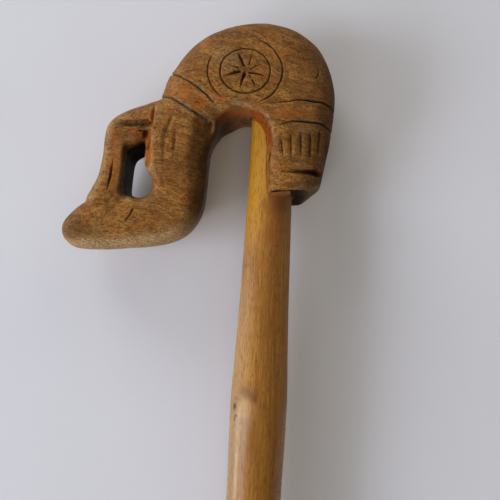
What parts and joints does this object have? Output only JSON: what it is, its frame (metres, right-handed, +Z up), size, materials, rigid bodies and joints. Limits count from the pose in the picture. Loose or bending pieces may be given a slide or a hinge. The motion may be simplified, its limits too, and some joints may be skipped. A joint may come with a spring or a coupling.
{
  "type": "walking stick",
  "caption": "Walking stick with a hand-carved hardwood crook handle lapped over a peeled natural shaft, with a push-on rubber ferrule.",
  "frame": {"origin": "centre of the ferrule's flat sole, where the shaft's axis meets the ground", "axes": "+Z up along the shaft, the head of the handle points to -X, the carved face looks to -Y"},
  "size_m": [0.1064, 0.034, 0.8999],
  "materials": {
    "carved_hardwood": "hand-carved brown hardwood with worn varnish",
    "peeled_wood": "peeled natural stick under clear gloss varnish",
    "dowel_wood": "plain turned dowel",
    "dried_glue": "hardened amber glue and varnish",
    "black_rubber": "moulded, matt",
    "plated_steel": "zinc-plated washer"
  },
  "bodies": {
    "stick": {"carved_handle": "carved_hardwood", "shaft": "peeled_wood", "joint_dowel": "dowel_wood", "glue_fillet": "dried_glue"},
    "ferrule": {"rubber_ferrule": "black_rubber", "ferrule_washer": "plated_steel"}
  },
  "joints": [
    {"name": "ferrule_pull", "type": "slide", "parent": "stick", "child": "ferrule", "axis": [0, 0, -1], "range_m": [0, 0.036]}
  ]
}
